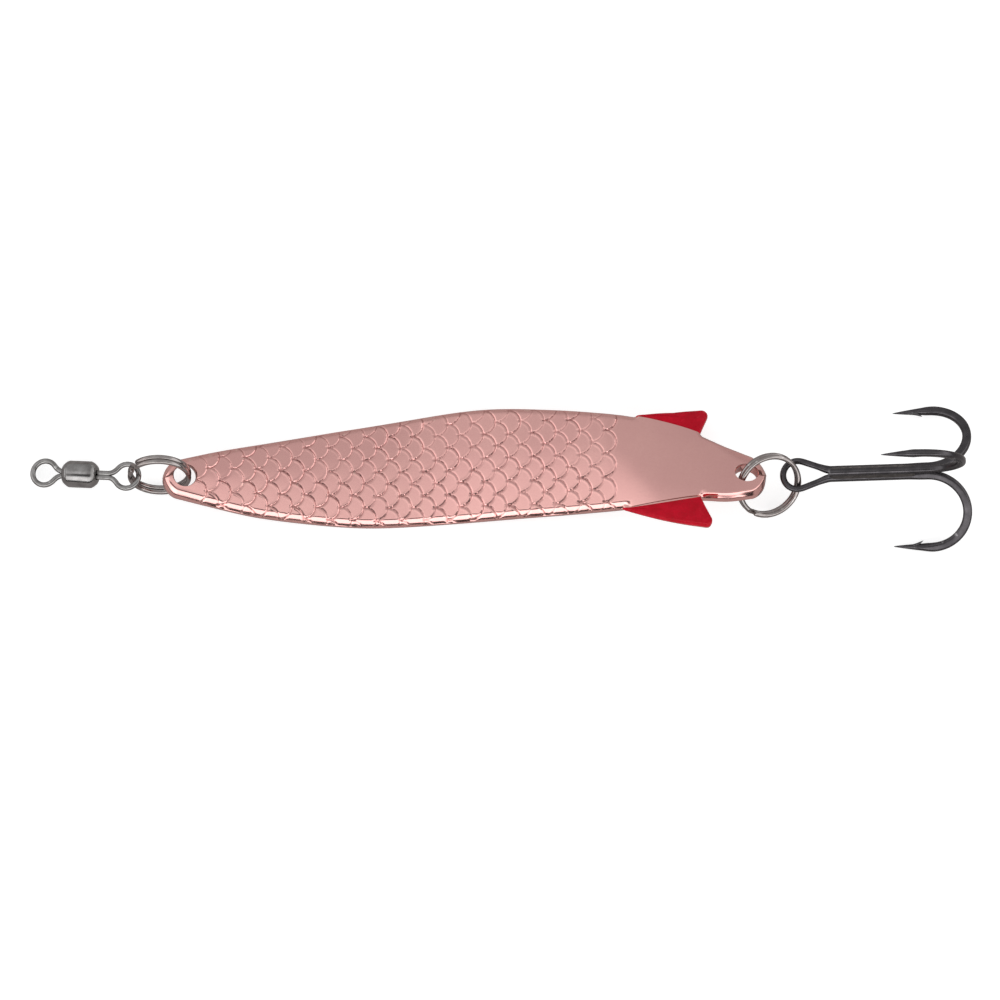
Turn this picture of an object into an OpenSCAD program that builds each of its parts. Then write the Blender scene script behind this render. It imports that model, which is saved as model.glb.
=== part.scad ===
// Wobbling spoon lure lying on a flat surface: stamped blade with two enamelled fins,
// a split ring at each end, a barrel swivel at the head and a treble hook at the tail.
// +X runs from the line eye to the treble, +Z is up, the surface is z = 0.

/* [Blade] */
// Length of the stamped blade
blade_len = 85; // [84:0.5:86]
// Thickness of the sheet
blade_t = 1.6; // [1.4:0.1:1.7]
// How far the middle of the face stands above its edges
crown = 0.45; // [0.2:0.05:0.6]
// Radius of the rounded rim of the face
rim_r = 0.9; // [0.5:0.1:1.1]
// Roll of the tail end about the blade's length, in degrees
tail_roll = 31; // [29:1:33]
// Diameter of the hole at the head
head_hole_d = 3.2; // [3.1:0.1:3.4]
// Diameter of the hole at the tail
tail_hole_d = 3.2; // [3.1:0.1:3.4]

/* [Split rings] */
// Diameter of the ring wire
ring_wire_d = 0.72; // [0.66:0.02:0.74]
// Outer diameter of the front split ring
front_ring_d = 9; // [8.8:0.1:9.2]
// Outer diameter of the rear split ring
rear_ring_d = 9.6; // [9.5:0.1:9.9]

/* [Swivel] */
// Length of the barrel
barrel_len = 5; // [4.6:0.1:5.2]
// Diameter of the barrel
barrel_d = 3.8; // [3.6:0.1:3.9]
// Outer diameter of the wire eyes
eye_d = 4.25; // [4.2:0.05:4.4]
// Diameter of the eye wire
eye_wire_d = 0.75; // [0.7:0.05:0.8]

/* [Treble hook] */
// Distance from the middle of the eye to the middle of the bends
shank_len = 18.4; // [17.5:0.1:19]
// Distance from the shank's axis to each point leg
hook_reach = 11.4; // [11:0.1:11.8]
// Diameter of the hook wire
hook_wire_d = 1.15; // [1.1:0.05:1.2]
// Diameter of the wire round the treble's eye
treble_eye_wire_d = 0.92; // [0.84:0.02:0.94]

/* [Hidden] */

// Where the blade's middle lies, so that the whole lure is centred on the origin
lure_x = -0.4;
lure_y = -0.1;
// X of the head tip, and Y of the blade's own axis, before that shift
head_x = -47.1;
axis_y = -0.45;

// ---- Blade form: everything is a function of s, the station along the blade from the head tip
// [station, offset of the upper outline] and [station, offset of the lower outline]
upper_edge = [[0, 1.9], [7.7, 3.9], [16.2, 5.65], [27.4, 7.85], [38.7, 9.7], [46, 10.3],
  [55.6, 9.8], [64, 8.87], [70, 8.1], [75.5, 7.03], [80, 5.15], [85, 2.8]];
lower_edge = [[0, -2.6], [6.3, -4], [13.3, -5.4], [21.8, -6.25], [29, -6.55], [38.7, -6.2],
  [50, -5.7], [64, -5], [70, -4.3], [75.5, -3.95], [80, -4.3], [85, -3.3]];
// [station, height of the middle of the sheet]: the lengthwise S-bend
bend_line = [[0, 4.95], [15, 2.75], [33, 1.35], [52, 3.8], [68, 5.9], [80, 6], [85, 5.3]];
// The tail rolls between these two stations
roll_from = 62;
roll_to = 83;
head_round = 2;
tail_round = 2;
head_hole_s = 3;
tail_hole_s = 82.1;
head_hole_y = 0.05;
tail_hole_y = -0.4;
chamfer = 0.3;

function index_at(pts, s) = min(len(pts) - 2, max(0, len([for (p = pts) if (p[0] <= s) 1]) - 1));
function slope_at(pts, i) =
  i == 0 ? (pts[1][1] - pts[0][1]) / (pts[1][0] - pts[0][0])
  : i == len(pts) - 1 ? (pts[i][1] - pts[i - 1][1]) / (pts[i][0] - pts[i - 1][0])
  : (pts[i + 1][1] - pts[i - 1][1]) / (pts[i + 1][0] - pts[i - 1][0]);
// Smooth curve through a list of points (cubic, with slopes from the neighbouring points)
function smooth(pts, s) =
  let (i = index_at(pts, s), w = pts[i + 1][0] - pts[i][0], t = (s - pts[i][0]) / w)
  (2 * t ^ 3 - 3 * t ^ 2 + 1) * pts[i][1] + (t ^ 3 - 2 * t ^ 2 + t) * w * slope_at(pts, i)
  + (3 * t ^ 2 - 2 * t ^ 3) * pts[i + 1][1] + (t ^ 3 - t ^ 2) * w * slope_at(pts, i + 1);
function end_round(s) =
  s < head_round ? sqrt(max(0, 1 - (1 - s / head_round) ^ 2))
  : s > blade_len - tail_round ? sqrt(max(0, 1 - (1 - (blade_len - s) / tail_round) ^ 2)) : 1;
// Stations scale with the blade's length
function unit_s(s) = s * 85 / blade_len;
function ease(t) = let (c = min(1, max(0, t))) c * c * (3 - 2 * c);
function height(s) = smooth(bend_line, unit_s(s));
function roll(s) = tail_roll * ease((unit_s(s) - roll_from) / (roll_to - roll_from));
function middle(s) = (smooth(upper_edge, unit_s(s)) + smooth(lower_edge, unit_s(s))) / 2;
function half_width(s) =
  (smooth(upper_edge, unit_s(s)) - smooth(lower_edge, unit_s(s))) / 2 * max(0.12, end_round(s));
function unit(v) = v / norm(v);
function tangent(s) = unit([0.2, 0, height(s + 0.1) - height(s - 0.1)]);
function across(s) = unit([0, cos(roll(s)), -sin(roll(s))]);
function normal_at(s) = unit(cross(tangent(s), across(s)));
function on_axis(s) = [lure_x + head_x + s, lure_y + axis_y, height(s)];
// A point of the blade: station, sideways offset, height above the middle of the sheet
function on_blade(s, y, h) = on_axis(s) + y * across(s) + h * normal_at(s);

// Half a cross-section's sideways steps, from the middle to the edge, closer together at the rim
rim_steps = [0, 0.2, 0.4, 0.6, 0.78, 0.9];
rim_arc = [0, 22, 45, 67, 90];
function crown_drop(f) = crown * f * f;
// Right half of the face: pairs of [offset / half width, drop]
function face_half(w) = concat(
  [for (f = rim_steps) [f * (1 - rim_r / w), crown_drop(f * (1 - rim_r / w))]],
  [for (a = rim_arc) if (a > 0)
    [1 - rim_r / w * (1 - sin(a)), crown_drop(1 - rim_r / w * (1 - sin(a))) + rim_r * (1 - cos(a)) * 0.8]]);
function section(s) =
  let (w = half_width(s), m = middle(s), r = face_half(max(w, rim_r * 1.05)), n = len(r),
    shut = min(1, w / (rim_r * 1.05)))
  concat(
    [for (i = [n - 1:-1:1]) on_blade(s, m + r[i][0] * w, blade_t / 2 - r[i][1] * shut)],
    [for (i = [0:n - 1]) on_blade(s, m - r[i][0] * w, blade_t / 2 - r[i][1] * shut)],
    [for (i = [n - 1:-2:1]) on_blade(s, m - r[i][0] * w, -blade_t / 2 - crown_drop(r[i][0]))],
    [on_blade(s, m, -blade_t / 2)],
    [for (i = [1:2:n - 1]) on_blade(s, m + r[i][0] * w, -blade_t / 2 - crown_drop(r[i][0]))]);
stations = concat(
  [for (a = [0:15:75]) head_round * (1 - cos(a))],
  [for (i = [0:44]) head_round + (blade_len - head_round - tail_round) * i / 44],
  [for (a = [75:-15:0]) blade_len - tail_round * (1 - cos(a))]);

module blade_body() {
  rings = [for (s = stations) section(s)];
  n = len(rings[0]);
  m = len(rings);
  polyhedron(
    points = [for (r = rings) for (p = r) p],
    faces = concat(
      [for (i = [0:m - 2]) for (j = [0:n - 1])
        let (k = (j + 1) % n) each [[i * n + j, (i + 1) * n + j, (i + 1) * n + k],
          [i * n + j, (i + 1) * n + k, i * n + k]]],
      [[for (j = [0:n - 1]) j]],
      [[for (j = [n - 1:-1:0]) (m - 1) * n + j]]),
    convexity = 6);
}

// ---- Fins: ears of the same sheet that follow its twist. Each is a hub on the blade's edge, the outline
// clockwise from above as [station, offset], and two root points inside the blade
upper_hub = [71, 8];
upper_fin = [[66.5, 8.62], [67.25, 8.82], [70.1, 9.5], [73, 10.26], [75.9, 11.3], [76.57, 11.54],
  [76.95, 11.45], [77.18, 11.1], [77.15, 10.7], [76.5, 8.95], [75.9, 7.5], [75.7, 7.05]];
upper_root = [[74.8, 5.9], [67.6, 7]];
lower_hub = [70.3, -4.35];
lower_fin = [[75.6, -4], [75.85, -5], [76.4, -6.5], [76.97, -7.9], [76.98, -8.35], [76.75, -8.75], [76.4, -8.95],
  [76, -8.9], [72.6, -7.6], [69.8, -6.7], [67, -5.85], [65.2, -5.15], [64.6, -4.95]];
lower_root = [[66, -3.4], [74.8, -2.9]];
fin_top = 0.2;
fin_t = blade_t - 0.5;
coat_t = 0.1;

// A plate between two heights over the sheet's middle: a fan of triangles from the first point to the others,
// all the way round it if whole
module fan_plate(points, low, high, whole) {
  n = len(points);
  steps = [for (i = [1:whole ? n - 1 : n - 2]) [i, whole && i == n - 1 ? 1 : i + 1]];
  walls = whole ? steps : concat(steps, [[0, 1], [n - 1, 0]]);
  polyhedron(
    points = concat([for (p = points) on_blade(p[0], p[1], low)], [for (p = points) on_blade(p[0], p[1], high)]),
    faces = concat(
      [for (w = steps) each [[n, n + w[0], n + w[1]], [0, w[1], w[0]]]],
      [for (w = walls) each [[w[0], w[1], n + w[1]], [w[0], n + w[1], n + w[0]]]]));
}
module fin(hub, outline, root) {
  fan_plate(concat([hub], outline, root), fin_top - fin_t, fin_top, true);
}
// Enamel on the front of a fin, as far as the blade's edge
module fin_coat(hub, outline) {
  fan_plate(concat([hub], outline), fin_top, fin_top + coat_t, false);
}

// Draws in a plane given by its origin and the directions of its X and Y
module in_plane(o, x, y) {
  z = cross(x, y);
  multmatrix([[x[0], y[0], z[0], o[0]], [x[1], y[1], z[1], o[1]], [x[2], y[2], z[2], o[2]], [0, 0, 0, 1]])
    children();
}
module hole(s, y, d) {
  in_plane(on_blade(s, y, 0), tangent(s), across(s)) {
    cylinder(h = 6, d = d, center = true, $fn = 64);
    translate([0, 0, blade_t / 2 - chamfer]) cylinder(h = 0.6, d1 = d, d2 = d + 1.2, $fn = 64);
    translate([0, 0, -blade_t / 2 + chamfer - 0.6]) cylinder(h = 0.6, d1 = d + 1.2, d2 = d, $fn = 64);
  }
}

module spoon_blade() {
  color("#d8a494")
  difference() {
    union() {
      blade_body();
      fin(upper_hub, upper_fin, upper_root);
      fin(lower_hub, lower_fin, lower_root);
    }
    hole(head_hole_s, head_hole_y, head_hole_d);
    hole(tail_hole_s, tail_hole_y, tail_hole_d);
  }
}
module upper_fin_enamel() {
  color("#b5132c") fin_coat(upper_hub, upper_fin);
}
module lower_fin_enamel() {
  color("#b5132c") fin_coat(lower_hub, lower_fin);
}

// ---- Split rings: each is given its middle and the two directions that its plane holds
// Across the ring, from the blade outwards, and up over it
front_mid = [lure_x - 47.65, lure_y - 0.2, 4.45];
front_along = [1, 0, 0];
front_up = unit([0, 0.293, 0.956]);
front_r = (front_ring_d - ring_wire_d) / 2;
front_link = 186;
rear_lean = 38;
rear_turn = 20;
rear_along = [cos(rear_turn), sin(rear_lean) * sin(rear_turn), -cos(rear_lean) * sin(rear_turn)];
rear_up = [0, cos(rear_lean), sin(rear_lean)];
rear_r = (rear_ring_d - ring_wire_d) / 2;
// Where round the rear ring its wire passes the tail hole and holds the treble, in degrees
rear_pass = 156;
rear_link = 12;
rear_seat = on_blade(tail_hole_s - 0.5, tail_hole_y - 0.3, 0);
rear_mid = rear_seat - rear_r * (cos(rear_pass) * rear_along + sin(rear_pass) * rear_up);
ring_gap = 7;

// Straight and bent stretches of wire overlap by this much
lap = 0.03;
// Round bar between two points
module bar(a, b, r) {
  d = b - a;
  translate(a) rotate([0, acos(d[2] / norm(d)), atan2(d[1], d[0])])
    translate([0, 0, -lap]) cylinder(h = norm(d) + 2 * lap, r = r, $fn = 32);
}
// Two turns of wire side by side, joined by a joggle where both ends finish
module split_ring(r, joggle_at) {
  step = ring_wire_d / 2 - 0.01;
  rotate([0, 0, joggle_at]) {
    for (z = [-step, step])
      translate([0, 0, z]) rotate_extrude(angle = 360 - 2 * ring_gap, start = ring_gap, $fn = 96)
        translate([r, 0]) circle(d = ring_wire_d, $fn = 24);
    bar([r * cos(ring_gap), -r * sin(ring_gap), step], [r * cos(ring_gap), r * sin(ring_gap), -step],
      ring_wire_d / 2);
  }
}
module front_split_ring() {
  color("#b9aeb0") in_plane(front_mid, front_along, front_up) split_ring(front_r, 95);
}
module rear_split_ring() {
  color("#b9aeb0") in_plane(rear_mid, rear_along, rear_up) split_ring(rear_r, 233);
}
function on_ring(mid, x, y, r, a) = mid + r * cos(a) * x + r * sin(a) * y;

// ---- Barrel swivel: its axis runs from where it holds the front ring down to the line eye
link_point = on_ring(front_mid, front_along, front_up, front_r, front_link);
line_point = [lure_x - 63.9, lure_y + 0.85, 1.3];
swivel_dir = unit(line_point - link_point);
swivel_side = unit(cross([0, 0, 1], swivel_dir));
eye_r = (eye_d - eye_wire_d) / 2;
link_slack = 0.55;
barrel_at = 6.85;
line_eye_at = 12.15;
neck_gap = 0.3;
neck_r = 0.36;
bore_play = 0.09;
wall = 0.55;
head_r = 1.1;
head_t = 0.7;
land_cut = 0.035;

// The swivel is drawn along +X from the middle of the ring-side eye, its eyes flat in XY
module on_swivel() {
  in_plane(link_point + link_slack * swivel_dir, swivel_dir, swivel_side) children();
}
module wire_eye() {
  rotate_extrude($fn = 96) translate([eye_r, 0]) circle(d = eye_wire_d, $fn = 24);
}
// Two wires side by side from the eye into the barrel, running +X from x0 to x1
module neck(x0, x1) {
  for (y = [-neck_gap, neck_gap])
    translate([x0, y, 0]) rotate([0, 90, 0]) cylinder(h = x1 - x0, r = neck_r, $fn = 32);
}
inner_face = barrel_len / 2 - wall;
module ring_side_eye() {
  color("#6f6f70") on_swivel() {
    wire_eye();
    neck(eye_r - 0.1, barrel_at - inner_face + 0.25);
  }
}
module ring_side_eye_head() {
  color("#5a5a5b") on_swivel() translate([barrel_at - inner_face + 0.25, 0, 0])
    rotate([0, 90, 0]) cylinder(h = head_t, r = head_r, $fn = 48);
}
module line_eye() {
  color("#6f6f70") on_swivel() {
    translate([line_eye_at, 0, 0]) difference() {
      wire_eye();
      cylinder(h = 2, r = eye_r - eye_wire_d / 2 + land_cut, center = true, $fn = 96);
    }
    neck(barrel_at + inner_face - 0.25, line_eye_at - eye_r + 0.1);
  }
}
module line_eye_head() {
  color("#5a5a5b") on_swivel() translate([barrel_at + inner_face - 0.25 - head_t, 0, 0])
    rotate([0, 90, 0]) cylinder(h = head_t, r = head_r, $fn = 48);
}
module swivel_barrel() {
  half = barrel_len / 2;
  r = barrel_d / 2;
  bore = neck_gap + neck_r + bore_play;
  color("#7a7a7b") on_swivel() translate([barrel_at, 0, 0]) rotate([0, 90, 0])
    rotate_extrude($fn = 96)
      polygon([[bore, -half], [1.35, -half], [r - 0.12, -half + 0.7], [r, -half + 0.95], [r, half - 0.95],
        [r - 0.12, half - 0.7], [1.35, half], [bore, half], [bore, inner_face], [r - 0.55, inner_face],
        [r - 0.55, -inner_face], [bore, -inner_face]]);
}

// ---- Treble: drawn with its shank along +X from the middle of the eye, the single hook up +Z
treble_pitch = 9.8;
treble_yaw = -0.6;
treble_roll = -2;
shank_ring = 0.668;
eye_loop_r = 2.05;
neck_s = 4.3;
leg_len = 0.9;
point_len = 4.2;
point_tip_r = 0.04;
// The bend's wire is thinner than the straight wire by this much on its radius
bend_step = 0.01;
bend_r = (hook_reach - shank_ring) / 2;
bend_angle = 183;
treble_from = on_ring(rear_mid, rear_along, rear_up, rear_r, rear_link);

module on_treble() {
  translate(treble_from) rotate([0, -treble_pitch, treble_yaw]) rotate([-treble_roll, 0, 0])
    translate([0, 0, shank_ring / 2]) children();
}
// One hook in the XZ plane: shank wire on the +Z side, from x0 out to the bend and back to the point
module hook(x0) {
  r = hook_wire_d / 2;
  translate([x0, 0, shank_ring]) rotate([0, 90, 0]) cylinder(h = shank_len - x0 + lap, r = r, $fn = 32);
  translate([shank_len, 0, shank_ring + bend_r]) rotate([90, 0, 0]) {
    rotate_extrude(angle = bend_angle, start = -90, $fn = 72) translate([bend_r, 0])
      circle(r = r - bend_step, $fn = 24);
    rotate([0, 0, bend_angle - 90]) translate([bend_r, 0, 0]) rotate([-90, 0, 0]) {
      rotate_extrude($fn = 32)
        polygon([[0, -lap], [r, -lap], [r, leg_len], [point_tip_r, leg_len + point_len], [0, leg_len + point_len]]);
      translate([-r * 0.62, 0, leg_len + 0.5]) rotate([0, 205, 0])
        cylinder(h = 1.05, r1 = 0.26, r2 = 0.03, $fn = 16);
    }
  }
}
module treble_double_hook() {
  r = treble_eye_wire_d / 2;
  side = shank_ring * sin(60);
  join = [neck_s, side];
  reach = norm(join);
  touch = atan2(side, neck_s) + acos(eye_loop_r / reach);
  color("#4a484c") on_treble() {
    for (a = [-120, 120])
      rotate([a, 0, 0]) hook(neck_s);
    translate([0, 0, -shank_ring / 2]) {
      rotate_extrude(angle = 360 - 2 * touch, start = touch, $fn = 72)
        translate([eye_loop_r, 0]) circle(r = r - bend_step, $fn = 24);
      for (m = [-1, 1]) {
        bar([eye_loop_r * cos(touch), m * eye_loop_r * sin(touch), 0], [neck_s, m * side, 0], r);
        translate([neck_s, m * side, 0]) rotate([0, 90, 0]) sphere(r = hook_wire_d / 2 - bend_step, $fn = 32);
      }
    }
  }
}
module treble_single_hook() {
  color("#4a484c") on_treble() hook(neck_s + 0.35);
}
// Brazing metal in the grooves between the three shank wires
module treble_braze() {
  corners = [for (a = [90, 210, 330]) shank_ring * [cos(a), sin(a)]];
  color("#5b5756") on_treble() translate([neck_s + 0.7, 0, 0]) rotate([90, 0, 90])
    linear_extrude(shank_len - neck_s - 2.4)
      difference() {
        circle(r = 0.98, $fn = 48);
        for (c = corners) translate(c) circle(r = hook_wire_d / 2 + 0.003, $fn = 48);
        polygon(corners);
      }
}

spoon_blade();
upper_fin_enamel();
lower_fin_enamel();
front_split_ring();
rear_split_ring();
ring_side_eye();
ring_side_eye_head();
swivel_barrel();
line_eye();
line_eye_head();
treble_double_hook();
treble_single_hook();
treble_braze();
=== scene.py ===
"""Spoon lure: a copper-plated stamped blade with two enamelled fins, a split ring at each end,
a barrel swivel at the head and a treble hook at the tail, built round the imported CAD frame."""

import math

import bmesh
import bpy
import numpy as np
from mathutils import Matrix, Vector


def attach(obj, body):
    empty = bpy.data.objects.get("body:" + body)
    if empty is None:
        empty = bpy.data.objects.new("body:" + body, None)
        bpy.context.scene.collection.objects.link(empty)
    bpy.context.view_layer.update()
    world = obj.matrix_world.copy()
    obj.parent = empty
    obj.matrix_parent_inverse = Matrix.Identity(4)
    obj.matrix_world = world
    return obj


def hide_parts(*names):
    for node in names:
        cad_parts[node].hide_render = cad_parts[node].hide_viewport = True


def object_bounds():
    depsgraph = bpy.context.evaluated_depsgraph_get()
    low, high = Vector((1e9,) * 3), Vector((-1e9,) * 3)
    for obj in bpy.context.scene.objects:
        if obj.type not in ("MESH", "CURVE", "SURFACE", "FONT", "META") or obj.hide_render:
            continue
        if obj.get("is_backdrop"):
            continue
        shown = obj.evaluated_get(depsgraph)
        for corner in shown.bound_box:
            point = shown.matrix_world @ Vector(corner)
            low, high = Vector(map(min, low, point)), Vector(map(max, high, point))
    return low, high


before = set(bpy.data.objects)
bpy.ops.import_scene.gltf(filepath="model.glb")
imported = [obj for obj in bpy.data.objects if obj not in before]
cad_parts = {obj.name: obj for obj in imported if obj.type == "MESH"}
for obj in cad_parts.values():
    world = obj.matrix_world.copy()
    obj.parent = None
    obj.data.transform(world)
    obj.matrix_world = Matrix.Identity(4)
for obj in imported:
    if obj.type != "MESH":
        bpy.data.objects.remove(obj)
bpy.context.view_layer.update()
MM = 0.001

# ---- Driving sizes in mm: the CAD's, apart from RIM and TAIL_RIM, bevels drawn finer than its round rim
BLADE_LEN, SHEET, CROWN, RIM, TAIL_RIM = 85.0, 1.6, 0.45, 1.0, 0.36
AXIS_X, AXIS_Y = -47.5, -0.55
UPPER_EDGE = [(0, 1.9), (7.7, 3.9), (16.2, 5.65), (27.4, 7.85), (38.7, 9.7), (46, 10.3),
              (55.6, 9.8), (64, 8.87), (70, 8.1), (75.5, 7.03), (80, 5.15), (85, 2.8)]
LOWER_EDGE = [(0, -2.6), (6.3, -4), (13.3, -5.4), (21.8, -6.25), (29, -6.55), (38.7, -6.2),
              (50, -5.7), (64, -5), (70, -4.3), (75.5, -3.95), (80, -4.3), (85, -3.3)]
BEND_LINE = [(0, 4.95), (15, 2.75), (33, 1.35), (52, 3.8), (68, 5.9), (80, 6), (85, 5.3)]
ROLL_FROM, ROLL_TO, TAIL_ROLL = 62.0, 83.0, math.radians(31)
HEAD_ROUND, TAIL_ROUND = 2.0, 2.0
HOLES = {"head": (3.0, 0.05, 3.2), "tail": (82.1, -0.4, 3.2)}
# Fins: corners clockwise from above as (station, offset), and the line that the enamel stops at
UPPER_FIN = [(67.6, 6.9), (66.0, 8.5), (72, 9.75), (77.3, 11.6), (75.65, 6.9), (74.8, 5.9)]
UPPER_ROOT = [(66.0, 8.6), (76.2, 6.8)]
LOWER_FIN = [(74.8, -2.9), (75.55, -3.9), (77.2, -8.4), (76.8, -9.2), (64.0, -4.75), (66, -3.4)]
LOWER_ROOT = [(76.2, -3.98), (63.9, -4.95)]
UPPER_SPINE, LOWER_SPINE = [(67.6, 8.75), (75.3, 9.4)], [(65.3, -4.98), (75.3, -6.3)]
FIN_TOP, FIN_T, FIN_TIP = 0.2, 1.1, 0.6
# Scale pattern: arcs convex towards the tail, in staggered columns
SCALE_R, COLUMN_STEP, ROW_STEP = 1.74, 1.7, 3.46
LAST_COLUMN, ROW_PHASE, FIRST_ARC = 62.2, 1.2, 5.2
GROOVE_DEPTH, GROOVE_HALF = 0.1, 0.17


# ---- Small vector helpers
def unit(v):
    v = np.asarray(v, float)
    return v / np.maximum(np.linalg.norm(v, axis=-1, keepdims=True), 1e-12)


def ease(t):
    t = np.clip(t, 0, 1)
    return t * t * (3 - 2 * t)


def smooth(points, s):
    """Cubic through the points, with slopes from the neighbouring points."""
    p = np.array(points, float)
    x, y = p[:, 0], p[:, 1]
    slope = np.empty(len(p))
    slope[1:-1] = (y[2:] - y[:-2]) / (x[2:] - x[:-2])
    slope[0] = (y[1] - y[0]) / (x[1] - x[0])
    slope[-1] = (y[-1] - y[-2]) / (x[-1] - x[-2])
    s = np.asarray(s, float)
    i = np.clip(np.searchsorted(x, s, side="right") - 1, 0, len(p) - 2)
    w = x[i + 1] - x[i]
    t = (s - x[i]) / w
    return ((2 * t**3 - 3 * t**2 + 1) * y[i] + (t**3 - 2 * t**2 + t) * w * slope[i]
            + (3 * t**2 - 2 * t**3) * y[i + 1] + (t**3 - t**2) * w * slope[i + 1])


def hashed(i, j, k):
    """A repeatable number from 0 to 1 for each pair of whole numbers."""
    v = np.sin(i * 127.1 + j * 311.7 + k * 74.7) * 43758.5453
    return v - np.floor(v)


# ---- Mesh helpers
def make(name, points, faces, values=None, uv=None):
    """A mesh object from points in mm."""
    mesh = bpy.data.meshes.new(name)
    mesh.from_pydata((np.asarray(points) * MM).tolist(), [], faces)
    mesh.update()
    mesh.shade_smooth()
    for key, data in (values or {}).items():
        mesh.attributes.new(key, "FLOAT", "POINT").data.foreach_set("value", np.asarray(data, np.float32))
    if uv is not None:
        layer = mesh.uv_layers.new(name="Wire")
        loops = np.empty(len(mesh.loops), np.int64)
        mesh.loops.foreach_get("vertex_index", loops)
        layer.data.foreach_set("uv", np.asarray(uv, np.float32)[loops].ravel())
    obj = bpy.data.objects.new(name, mesh)
    bpy.context.scene.collection.objects.link(obj)
    return obj


def sharpen(obj, degrees):
    """Marks edges that turn more than this as sharp."""
    obj.data.set_sharp_from_angle(angle=math.radians(degrees))


def grid_faces(rows, columns, closed_rows=False):
    """Quads between neighbouring rings of points."""
    a, b = np.meshgrid(np.arange(rows if closed_rows else rows - 1), np.arange(columns), indexing="ij")
    c, d = (a + 1) % rows, (b + 1) % columns
    quads = np.stack([a * columns + b, c * columns + b, c * columns + d, a * columns + d], -1)
    return quads.reshape(-1, 4).tolist()


def end_caps(rows, columns):
    """One face over each end of a stack of rings."""
    return [list(range(columns)), list(range(rows * columns - 1, (rows - 1) * columns - 1, -1))]


def tube(path, side, half_side, half_out, around=24, power=2.0):
    """Wire swept along a path: a superellipse section, half_side wide along side and half_out across it."""
    path, n = np.asarray(path, float), len(path)
    along = unit(np.gradient(path, axis=0))
    side = np.broadcast_to(np.asarray(side, float), (n, 3))
    side = unit(side - (side * along).sum(1, keepdims=True) * along)
    out = np.cross(along, side)
    a = np.linspace(0, 2 * math.pi, around, endpoint=False)
    c, s = np.cos(a), np.sin(a)
    c, s = np.sign(c) * np.abs(c) ** (2 / power), np.sign(s) * np.abs(s) ** (2 / power)
    hs = np.broadcast_to(np.asarray(half_side, float), (n,))
    ho = np.broadcast_to(np.asarray(half_out, float), (n,))
    points = (path[:, None] + side[:, None] * (c[None, :, None] * hs[:, None, None])
              + out[:, None] * (s[None, :, None] * ho[:, None, None]))
    length = np.concatenate([[0], np.cumsum(np.linalg.norm(np.diff(path, axis=0), axis=1))])
    uv = np.stack(np.broadcast_arrays(length[:, None], a[None, :]), -1).reshape(-1, 2)
    faces = grid_faces(n, around) + end_caps(n, around)
    return points.reshape(-1, 3), faces, uv


def joined(*parts):
    """Several (points, faces, uv) as one."""
    points, faces, uv, base = [], [], [], 0
    for p, f, u in parts:
        points.append(p)
        uv.append(u)
        faces += [[k + base for k in face] for face in f]
        base += len(p)
    return np.vstack(points), faces, np.vstack(uv)


def face_out(obj):
    """Turns the faces of each closed part outwards."""
    bm = bmesh.new()
    bm.from_mesh(obj.data)
    bmesh.ops.recalc_face_normals(bm, faces=bm.faces)
    bm.to_mesh(obj.data)
    bm.free()


def spaced(path, step):
    """The path with points evenly spaced along it."""
    path = np.asarray(path, float)
    length = np.concatenate([[0], np.cumsum(np.linalg.norm(np.diff(path, axis=0), axis=1))])
    at = np.linspace(0, length[-1], max(4, int(length[-1] / step) + 1))
    return np.stack([np.interp(at, length, path[:, k]) for k in range(3)], 1), at


def relaxed(path, rounds):
    """The path with its corners eased; both ends stay."""
    path = np.array(path, float)
    for _ in range(rounds):
        path[1:-1] = (path[:-2] + 2 * path[1:-1] + path[2:]) / 4
    return path


def placed(points, origin, x, y):
    """Points drawn in a plane's own axes, moved into the frame."""
    x, y = unit(x), unit(y)
    return np.asarray(origin) + points @ np.stack([x, y, np.cross(x, y)])


# ---- Blade
def height(s):
    return smooth(BEND_LINE, s)


def blade_axes(s):
    s = np.asarray(s, float)
    rise = height(s + 0.1) - height(s - 0.1)
    along = unit(np.stack([np.full_like(s, 0.2), np.zeros_like(s), rise], -1))
    roll = TAIL_ROLL * ease((s - ROLL_FROM) / (ROLL_TO - ROLL_FROM))
    across = np.stack([np.zeros_like(s), np.cos(roll), -np.sin(roll)], -1)
    return along, across, unit(np.cross(along, across))


def on_blade(s, y, h):
    """A point of the blade: station, sideways offset, height above the middle of the sheet."""
    s = np.asarray(s, float)
    _, across, up = blade_axes(s)
    origin = np.stack([AXIS_X + s, np.full_like(s, AXIS_Y), height(s)], -1)
    return origin + np.asarray(y)[..., None] * across + np.asarray(h)[..., None] * up


def outline(s):
    """Middle and half width of the blade at a station."""
    top, low = smooth(UPPER_EDGE, s), smooth(LOWER_EDGE, s)
    head = np.sqrt(np.clip(1 - (1 - np.clip(s / HEAD_ROUND, 0, 1)) ** 2, 0, 1))
    tail = np.sqrt(np.clip(1 - (1 - np.clip((BLADE_LEN - s) / TAIL_ROUND, 0, 1)) ** 2, 0, 1))
    return (top + low) / 2, (top - low) / 2 * head * tail


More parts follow.
